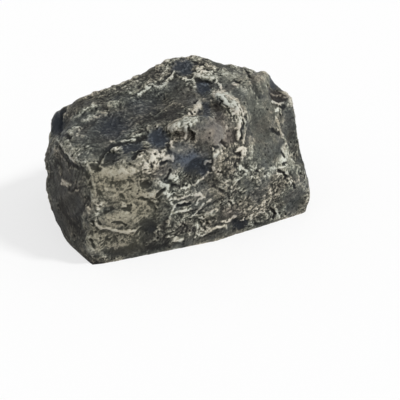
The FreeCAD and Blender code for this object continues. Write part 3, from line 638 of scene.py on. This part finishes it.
def spotDistance(across, down, ragged, stroke):
    turn = math.radians(stroke.get("turn", 0))
    x, y = across - stroke["at"][0][0], down - stroke["at"][0][1]
    along = (x * math.cos(turn) + y * math.sin(turn)) / stroke["wide"]
    aside = (y * math.cos(turn) - x * math.sin(turn)) / stroke["tall"]
    size = min(stroke["wide"], stroke["tall"])
    most, share = brush["spotRagged"]
    return np.hypot(along, aside) + ragged * min(most, share * size) / size


def lineDistance(across, down, ragged, stroke):
    best = np.full(len(across), np.inf)
    for (x0, y0), (x1, y1) in zip(stroke["at"], stroke["at"][1:]):
        span = (x1 - x0) ** 2 + (y1 - y0) ** 2
        part = np.clip(((across - x0) * (x1 - x0) + (down - y0) * (y1 - y0)) / span, 0, 1)
        best = np.minimum(best, np.hypot(across - x0 - part * (x1 - x0),
                                         down - y0 - part * (y1 - y0)))
    most, share = brush["lineRagged"]
    return np.maximum(best + ragged * min(most, share * stroke["wide"]), 0) / stroke["wide"]


def brushed(points, seen, paint):
    across, down, facing = seen
    across = (across + sampled(points, "wobbleAcross") * brush["wobble"]
              + sampled(points, "shakeAcross") * brush["shake"])
    down = (down + sampled(points, "wobbleDown") * brush["wobble"]
            + sampled(points, "shakeDown") * brush["shake"])
    ragged = sampled(points, "raggedFine") + sampled(points, "raggedWide") * brush["raggedWide"]
    rise = np.zeros(len(points))
    for stroke in strokes:
        measure = spotDistance if len(stroke["at"]) == 1 else lineDistance
        distance = measure(across, down, ragged, stroke)
        rise += stroke.get("rise", 0) * brush["riseShare"] * (moundAt(distance) * facing)
        edge = brush["softEdge" if "soft" in stroke else "crispEdge"]
        cover = ramp(1 + edge / 2 - distance, 0, edge) * facing
        for name in paintNames:
            if name in stroke:
                paint[name] += (stroke[name] - paint[name]) * cover
    return rise


def displaced(points, normals, hollow, skin, rise, shift):
    inner = sampled(points, "hollow") * rockShape["hollowRise"]
    lift = (rise + shift) * skin + inner * hollow * (points[:, 2] > rockShape["hollowFrom"])
    flat = np.array((1, 1, 0)) * (shift * (1 - skin) * ~hollow)[:, None]
    points = points + normals * (lift[:, None] + flat)
    points[:, 2] = points[:, 2].clip(0)
    return points


def toneOf(points, normals, edges, facing, hollow, rough, cream, dark):
    tone = toneMix["base"] + toneMix["cream"] * cream - toneMix["dark"] * dark
    most = toneMix["most"]
    least = -toneMix["least"] - toneMix["least"] * facing
    outer = ~hollow
    for name, low, where in (("fine", -most, outer * rough), ("raised", least, outer),
                             ("swell", least, outer)):
        passes, height, share = toneMix[name]
        relief = ((points - softened(points, edges, passes)) * normals).sum(axis=1)
        tone = tone + share * (np.clip(relief / height, low, most) * where)
    return tone


def storePaint(piece, paint):
    for name, values in paint.items():
        layer = piece.data.attributes.new(name, "FLOAT", "POINT")
        layer.data.foreach_set("value", values.astype(np.float32))


def thinUnseen(piece, facing, hollow):
    group = piece.vertex_groups.new(name="hidden")
    hidden = np.clip(1.0 - facing + hollow, rockShape["thinLeast"], 1)
    levels = rockShape["thinLevels"]
    for level in range(1, levels + 1):
        rows = np.nonzero((hidden > (level - 1) / levels) & (hidden <= level / levels))[0]
        group.add([int(row) for row in rows], level / levels, "REPLACE")
    applyModifier(piece, "DECIMATE", ratio=rockShape["thinTo"], vertex_group="hidden",
                  vertex_group_factor=1.0)
    piece.vertex_groups.clear()
    print("rock thinned to", len(piece.data.polygons), "faces")


def sculptRock(piece, hollow, skin, edges):
    points = readPoints(piece)
    writePoints(piece, melted(points, seenBy(points, readNormals(piece)), edges))
    points, normals = readPoints(piece), readNormals(piece)
    seen = seenBy(points, normals)
    facing = seen[2]
    shift = sum(move["rise"] * moundAt(distanceFrom(points, seen, move))
                for move in nudges.values())
    paint = unbrushed(points, facing)
    rise = brushed(points, seen, paint)
    rough = 1 - barePaint["plainCalm"] * np.clip(paint["plain"], 0, 1)
    rise += sampled(points, "broad") * rockShape["broadRise"]
    rise += craggy(points) * rough
    points = displaced(points, normals, hollow, skin, rise, shift)
    writePoints(piece, points)
    print("rock sculpted: rise from %.2f to %.2f mm" % (rise.min(), rise.max()))
    paint["tone"] = toneOf(points, readNormals(piece), edges, facing, hollow, rough,
                           paint.pop("cream"), paint.pop("dark"))
    paint["inside"] = hollow.astype(float)
    storePaint(piece, paint)
    thinUnseen(piece, facing, hollow)


addCamera()
rock, rockHollow, rockSkin, rockEdges = makeRockMesh()
sculptRock(rock, rockHollow, rockSkin, rockEdges)


def startMaterial(name):
    material = bpy.data.materials.new(name)
    material.use_nodes = True
    tree = material.node_tree
    return material, tree, tree.nodes["Principled BSDF"]


def objectCoords(tree):
    return tree.nodes.new("ShaderNodeTexCoord").outputs["Object"]


# An input is either another node's output or a plain value.
def putInput(tree, socket, value):
    if hasattr(value, "node"):
        tree.links.new(value, socket)
    else:
        socket.default_value = value


def addNode(tree, kind, inputs, **settings):
    node = tree.nodes.new("ShaderNode" + kind)
    for name, value in settings.items():
        setattr(node, name, value)
    for name, value in inputs.items():
        putInput(tree, node.inputs[name], value)
    return node


def mathNode(tree, operation, first, second=0.0):
    return addNode(tree, "Math", {0: first, 1: second}, operation=operation).outputs[0]


def total(tree, first, *others):
    for value in others:
        first = mathNode(tree, "ADD", first, value)
    return first


def times(tree, first, *others):
    for value in others:
        first = mathNode(tree, "MULTIPLY", first, value)
    return first


def mixColours(tree, share, first, second, how="MIX"):
    node = addNode(tree, "Mix", {"Factor": share}, data_type="RGBA", blend_type=how)
    for socket, value in (("A", first), ("B", second)):
        target = [s for s in node.inputs if s.name == socket and s.type == "RGBA"][0]
        putInput(tree, target, value if hasattr(value, "node") else (*value, 1))
    return [s for s in node.outputs if s.type == "RGBA"][0]


def smoothStep(tree, value, limits):
    low, high = limits
    node = addNode(tree, "MapRange", {"Value": value, "From Min": low, "From Max": high},
                   interpolation_type="SMOOTHSTEP")
    return node.outputs["Result"]


def addRoughness(tree, shader, value, limits):
    low, high = limits
    node = addNode(tree, "MapRange", {"Value": value, "To Min": low, "To Max": high})
    tree.links.new(node.outputs["Result"], shader.inputs["Roughness"])


def addBumps(tree, shader, height, strength, distance):
    node = addNode(tree, "Bump", {"Strength": strength, "Distance": distance * mm,
                                  "Height": height})
    tree.links.new(node.outputs["Normal"], shader.inputs["Normal"])


def thinLine(tree, value, middle, width):
    away = mathNode(tree, "ABSOLUTE", mathNode(tree, "SUBTRACT", value, middle))
    return mathNode(tree, "SUBTRACT", 1.0, smoothStep(tree, away, (0, width)))


def rampNode(tree, value, stops):
    node = tree.nodes.new("ShaderNodeValToRGB")
    tree.links.new(value, node.inputs[0])
    row = node.color_ramp.elements
    while len(row) < len(stops):
        row.new(0.5)
    for element, (place, colour) in zip(row, stops):
        element.position = place
        element.color = (*colour, 1)
    return node.outputs["Color"]


def noiseNode(tree, coords, scale, detail, rough, distortion=0.0):
    node = addNode(tree, "TexNoise", {"Vector": coords, "Scale": scale, "Detail": detail,
                                      "Roughness": rough, "Distortion": distortion})
    return node.outputs["Fac"]


rockColours = {
    "pit": (0.006, 0.006, 0.0055),
    "charcoal": (0.024, 0.024, 0.020),
    "stone": (0.078, 0.0775, 0.066),
    "paleStone": (0.172, 0.166, 0.136),
    "cream": (0.36, 0.335, 0.265),
    "paleCream": (0.66, 0.635, 0.57),
    "coolTint": (0.94, 1.0, 0.985), "warmTint": (1.045, 1.005, 0.945),
    "darkUmber": (0.030, 0.024, 0.020), "umber": (0.150, 0.125, 0.108),
    "blueBlack": (0.018, 0.025, 0.037), "blueGrey": (0.070, 0.089, 0.122),
    "darkOlive": (0.050, 0.048, 0.033), "oliveCream": (0.30, 0.272, 0.195),
    "inside": (0.045, 0.036, 0.030),
}
# Scale, detail, roughness and distortion of each noise.
rockNoises = {
    "mottle": (230, 6, 0.76, 0.4),
    "speckle": (1300, 3, 0.7, 0.2),
    "dust": (2600, 2, 0.6),
    "hairs": (210, 5, 0.7, 1.2),
    "streak": (620, 5, 0.8, 0.4),     # these three follow the layers
    "cracks": (330, 4, 0.65, 1.6),
    "weather": (95, 5, 0.62, 0.8),
}
# Shares, and limits between which something fades in.
rockFinish = {
    "layerTurn": (0, -14.7, 12.4), "layerStretch": (2.4, 1, 1),     # the turn is in degrees
    "mottle": 0.85, "streak": 0.75, "speckle": 1.35,
    "noiseMiddle": 1.475,     # half of those three together
    "loud": 1.2, "calm": 0.7,       # plain paint is calmer
    "crack": (0.5, 0.026), "crackShare": -0.2,        # middle and width of the line
    "hair": (0.52, 0.016), "hairShare": 0.3, "hairFrom": (0.3, 0.6),
    "pitScale": 520, "pitEdge": (0.16, 0.3), "pitWhere": (0.5, 0.58), "pitShare": -0.55,
    # where each colour lies between the darkest and the lightest paint
    "stops": {"pit": 0.02, "charcoal": 0.22, "stone": 0.46, "paleStone": 0.66, "cream": 0.84,
              "paleCream": 1.0},
    "weather": (0.38, 0.62), "lit": (0.25, 0.55), "litOlive": (0.3, 0.8),
    "brown": 0.8, "blue": 0.85, "olive": 0.7, "inside": 0.9,
    "rough": (0.42, 0.7), "specular": 0.25,
    "bump": (1.0, 0.45), "bumpDust": 0.4, "bumpPits": -0.8,
}


# How light the paint is at each place, from the sculpted tone and the fine noises.
def paintLevel(tree, tone, plain, noises, holes):
    finish = rockFinish
    loud = mathNode(tree, "SUBTRACT", finish["loud"], times(tree, plain, finish["calm"]))
    weighted = [times(tree, noises[name], finish[name]) for name in ("mottle", "streak", "speckle")]
    grain = times(tree, total(tree, *weighted, -finish["noiseMiddle"]), loud)
    crack = times(tree, thinLine(tree, noises["cracks"], *finish["crack"]), loud,
                  finish["crackShare"])
    hair = times(tree, thinLine(tree, noises["hairs"], *finish["hair"]),
                 smoothStep(tree, tone, finish["hairFrom"]), finish["hairShare"])
    return total(tree, tone, grain, crack, hair, times(tree, holes, finish["pitShare"]))


def pinholes(tree, coords, mottle):
    cells = addNode(tree, "TexVoronoi", {"Vector": coords, "Scale": rockFinish["pitScale"]})
    edge = smoothStep(tree, cells.outputs["Distance"], rockFinish["pitEdge"])
    holes = mathNode(tree, "SUBTRACT", 1.0, edge)
    return times(tree, holes, smoothStep(tree, mottle, rockFinish["pitWhere"]))


def rockMaterial():
    material, tree, shader = startMaterial("paintedResin")
    finish, colours, coords = rockFinish, rockColours, objectCoords(tree)
    paints = {name: addNode(tree, "Attribute", {}, attribute_name=name).outputs["Fac"]
              for name in ("tone", "blue", "brown", "olive", "plain", "inside")}
    layered = addNode(tree, "Mapping", {
        "Vector": coords, "Rotation": [math.radians(turn) for turn in finish["layerTurn"]],
        "Scale": finish["layerStretch"]}, vector_type="TEXTURE").outputs["Vector"]
    noises = {name: noiseNode(tree, layered if name in ("streak", "cracks", "weather") else coords,
                              *numbers) for name, numbers in rockNoises.items()}
    holes = pinholes(tree, coords, noises["mottle"])
    level = paintLevel(tree, paints["tone"], paints["plain"], noises, holes)
    ground = rampNode(tree, level, [(place, colours[name])
                                    for name, place in finish["stops"].items()])
    tint = mixColours(tree, smoothStep(tree, noises["weather"], finish["weather"]),
                      colours["coolTint"], colours["warmTint"])
    ground = mixColours(tree, 1.0, ground, tint, "MULTIPLY")
    for name, dark, pale, limits in (("brown", "darkUmber", "umber", "lit"),
                                     ("blue", "blueBlack", "blueGrey", "lit"),
                                     ("olive", "darkOlive", "oliveCream", "litOlive")):
        wash = mixColours(tree, smoothStep(tree, level, finish[limits]), colours[dark],
                          colours[pale])
        ground = mixColours(tree, times(tree, paints[name], finish[name]), ground, wash)
    ground = mixColours(tree, times(tree, paints["inside"], finish["inside"]), ground,
                        colours["inside"])
    tree.links.new(ground, shader.inputs["Base Color"])
    addRoughness(tree, shader, noises["speckle"], finish["rough"])
    shader.inputs["Specular IOR Level"].default_value = finish["specular"]
    height = total(tree, noises["speckle"], times(tree, noises["dust"], finish["bumpDust"]),
                   times(tree, holes, finish["bumpPits"]))
    addBumps(tree, shader, height, *finish["bump"])
    return material


dress(rock, "rock_body", "rock", rockMaterial())


# Looks of the tray and the keys.  Noises are as for the rock, "bump" is its strength and its
# height in mm, and "edge" is the width of a rounded edge in mm.
plasticLook = {
    "colour": (0.80, 0.81, 0.78), "shade": (0.755, 0.765, 0.73),
    "cloud": (120, 3, 0.5), "cloudFrom": (0.35, 0.75), "scuff": (900, 4, 0.7, 1.5),
    "rough": (0.28, 0.5), "glow": 0.18, "glowReach": (2.4, 2.2, 1.9),
    "bump": (0.12, 0.1), "edge": 0.35, "edgeSteps": 3,
}
metalLooks = {
    "nickelPlate": {"colour": (0.62, 0.60, 0.56), "dull": (0.48, 0.46, 0.43), "rough": (0.2, 0.42),
                    "seed": 3},
    "keyBrass": {"colour": (0.62, 0.46, 0.22), "dull": (0.46, 0.335, 0.155), "rough": (0.24, 0.46),
                 "seed": 8},
}
keyLook = {
    "brushing": (180, 3200, 3200), "grain": (1, 3, 0.6),
    "stain": (520, 5, 0.7, 0.4), "wearFrom": (0.45, 0.68),
    "half": 0.5,              # grain and wear roughen the metal alike
    "bump": (0.25, 0.03), "edge": 0.14, "edgeSteps": 2,
}


def plasticMaterial():
    material, tree, shader = startMaterial("whitePlastic")
    look, coords = plasticLook, objectCoords(tree)
    cloud = noiseNode(tree, coords, *look["cloud"])
    scuff = noiseNode(tree, coords, *look["scuff"])
    colour = mixColours(tree, smoothStep(tree, cloud, look["cloudFrom"]), look["colour"],
                        look["shade"])
    tree.links.new(colour, shader.inputs["Base Color"])
    addRoughness(tree, shader, scuff, look["rough"])
    shader.inputs["Subsurface Weight"].default_value = look["glow"]
    shader.inputs["Subsurface Radius"].default_value = look["glowReach"]
    shader.inputs["Subsurface Scale"].default_value = mm
    addBumps(tree, shader, scuff, *look["bump"])
    return material


def metalMaterial(name):
    material, tree, shader = startMaterial(name)
    look, coords = metalLooks[name], objectCoords(tree)
    brushing = addNode(tree, "Mapping", {"Vector": coords, "Location": (look["seed"], 0, 0),
                                         "Scale": keyLook["brushing"]}).outputs["Vector"]
    grain = noiseNode(tree, brushing, *keyLook["grain"])
    wear = smoothStep(tree, noiseNode(tree, coords, *keyLook["stain"]), keyLook["wearFrom"])
    tree.links.new(mixColours(tree, wear, look["colour"], look["dull"]),
                   shader.inputs["Base Color"])
    shader.inputs["Metallic"].default_value = 1
    rough = total(tree, times(tree, grain, keyLook["half"]), times(tree, wear, keyLook["half"]))
    addRoughness(tree, shader, rough, look["rough"])
    addBumps(tree, shader, grain, *keyLook["bump"])
    return material


# Sunk marks in the keys' upper faces.  Corners are (along the key, to one side) in mm from the
# head.  A ring or a panel is closed by its mirror image, and a twin is cut once on each side.
keyMarks = {
    "nickelKey": {
        "head": (29.5, 0), "turn": 180, "top": 4.4, "deep": 0.3,
        "rings": [{"corners": [(2.4, 5.4), (8.5, 8.5), (15.8, 3.4)], "share": 0.86}],
        "panels": [],
        "twins": [[(17.4, 1.2), (17.9, 3.4), (20.6, 3.0), (20.6, 1.2)]],
    },
    "brassKey": {
        "head": (20.5, 2.2), "turn": 188, "top": 6.5, "deep": 0.3,
        "rings": [{"corners": [(1.6, 3.6), (6.4, 5.2), (9.6, 4.2)], "share": 0.84}],
        "panels": [[(11.0, 6.6), (14.9, 8.4), (19.6, 5.6)]],
        "twins": [],
    },
}
cutterRise = 1                # mm that a cutter stands out of the key
smoothAngle, bevelAngle, flatAngle = [math.radians(angle) for angle in (30, 35, 1)]


def cutterPlaces(mark, loops):
    turn = math.radians(mark["turn"])
    places = []
    for loop in loops:
        for height in (mark["top"] - mark["deep"], mark["top"] + cutterRise):
            for along, aside in loop:
                across = mark["head"][0] + along * math.cos(turn) - aside * math.sin(turn)
                back = mark["head"][1] + along * math.sin(turn) + aside * math.cos(turn)
                places.append((across * mm, back * mm, height * mm))
    return places


# Faces of the upright walls, and of the two ends: whole for one loop, a band between two.
def cutterFaces(count, loopCount):
    pairs = [(row, (row + 1) % count) for row in range(count)]
    faces = []
    for start in range(0, 2 * count * loopCount, 2 * count):
        for row, after in pairs:
            faces.append([start + row, start + after, start + count + after, start + count + row])
    if loopCount == 1:
        return faces + [list(range(count)), list(range(count, 2 * count))]
    for level in (0, count):
        for row, after in pairs:
            faces.append([level + row, level + after, level + after + 2 * count,
                          level + row + 2 * count])
    return faces


def cutterOf(mark, loops):
    mesh = bpy.data.meshes.new("cutter")
    mesh.from_pydata(cutterPlaces(mark, loops), [], cutterFaces(len(loops[0]), len(loops)))
    cutter = bpy.data.objects.new("cutter", mesh)
    bpy.context.scene.collection.objects.link(cutter)
    makeActive(cutter)
    bpy.ops.object.mode_set(mode="EDIT")
    bpy.ops.mesh.select_all(action="SELECT")
    bpy.ops.mesh.normals_make_consistent(inside=False)
    bpy.ops.object.mode_set(mode="OBJECT")
    return cutter


def otherSide(corners):
    return [(along, -aside) for along, aside in corners]


def closedLoop(corners):
    return corners + otherSide(reversed(corners))


def ringLoops(ring):
    outer = closedLoop(ring["corners"])
    middle = sum(along for along, aside in outer) / len(outer)
    inner = [(middle + (along - middle) * ring["share"], aside * ring["share"])
             for along, aside in outer]
    return [outer, inner]


def sinkMarks(piece):
    mark = keyMarks[piece.name]
    shapes = [ringLoops(ring) for ring in mark["rings"]]
    shapes += [[closedLoop(corners)] for corners in mark["panels"]]
    for corners in mark["twins"]:
        shapes += [[corners], [otherSide(corners)]]
    for loops in shapes:
        cutter = cutterOf(mark, loops)
        applyModifier(piece, "BOOLEAN", object=cutter, operation="DIFFERENCE", solver="EXACT")
        bpy.data.objects.remove(cutter)
    makeActive(piece)
    bpy.ops.object.shade_smooth_by_angle(angle=smoothAngle)
    print(piece.name, "marked,", len(piece.data.polygons), "faces")


def bevelledCopy(node, name, look):
    piece = copyOfNode(node, name)
    applyModifier(piece, "DECIMATE", decimate_type="DISSOLVE", angle_limit=flatAngle)
    applyModifier(piece, "BEVEL", width=look["edge"] * mm, segments=look["edgeSteps"],
                  limit_method="ANGLE", angle_limit=bevelAngle, harden_normals=False)
    bpy.ops.object.shade_smooth_by_angle(angle=smoothAngle)
    print(name, "has", len(piece.data.polygons), "faces")
    return piece


tray = bevelledCopy("key_tray", "mouldedTray", plasticLook)
dress(tray, "key_tray", "tray", plasticMaterial())
nickelKey = bevelledCopy("nickel_key", "nickelKey", keyLook)
sinkMarks(nickelKey)
dress(nickelKey, "nickel_key", "nickel", metalMaterial("nickelPlate"))
brassKey = bevelledCopy("brass_key", "brassKey", keyLook)
sinkMarks(brassKey)
dress(brassKey, "brass_key", "brass", metalMaterial("keyBrass"))


studio = {
    "skyLevel": 0.52,
    "sunLevel": 2.25, "sunAngle": 10, "sunFrom": (0.5, -0.5, 0.72),
    "floorSize": 3000,        # mm
    "floorColour": (0.93, 0.93, 0.93, 1), "floorRough": 0.9,
    "floorGlow": 0.7,         # the camera sees this share of the floor as plain white
}


# The camera and reflections see white, and the light on the pieces is dimmer.
def addSky():
    world = bpy.data.worlds.new("studioWorld")
    bpy.context.scene.world = world
    world.use_nodes = True
    tree, white = world.node_tree, (1, 1, 1, 1)
    tree.nodes.clear()
    path = tree.nodes.new("ShaderNodeLightPath").outputs
    direct = mathNode(tree, "MAXIMUM", path["Is Camera Ray"], path["Is Glossy Ray"])
    direct = mathNode(tree, "MAXIMUM", direct, path["Is Transmission Ray"])
    sky = addNode(tree, "Background", {"Color": white, "Strength": studio["skyLevel"]})
    backdrop = addNode(tree, "Background", {"Color": white, "Strength": 1})
    mix = addNode(tree, "MixShader", {0: direct, 1: sky.outputs[0], 2: backdrop.outputs[0]})
    addNode(tree, "OutputWorld", {"Surface": mix.outputs[0]})


def addSun():
    bpy.ops.object.light_add(type="SUN")
    sun = bpy.context.object
    sun.name = "softSun"
    sun.data.energy = studio["sunLevel"]
    sun.data.angle = math.radians(studio["sunAngle"])
    sun.rotation_mode = "QUATERNION"
    sun.rotation_quaternion = Vector(studio["sunFrom"]).to_track_quat("Z", "Y")


def addFloor():
    bpy.ops.mesh.primitive_plane_add(size=studio["floorSize"] * mm)
    floor = bpy.context.object
    floor.name = "paleFloor"
    material, tree, paper = startMaterial("palePaper")
    paper.inputs["Base Color"].default_value = studio["floorColour"]
    paper.inputs["Roughness"].default_value = studio["floorRough"]
    glow = tree.nodes.new("ShaderNodeEmission")
    path = tree.nodes.new("ShaderNodeLightPath").outputs
    share = times(tree, path["Is Camera Ray"], studio["floorGlow"])
    mix = addNode(tree, "MixShader", {0: share, 1: paper.outputs[0], 2: glow.outputs[0]})
    tree.links.new(mix.outputs[0], tree.nodes["Material Output"].inputs["Surface"])
    floor.data.materials.append(material)


addSky()
addSun()
addFloor()
bpy.context.scene.view_settings.view_transform = "Standard"
print("studio lit")
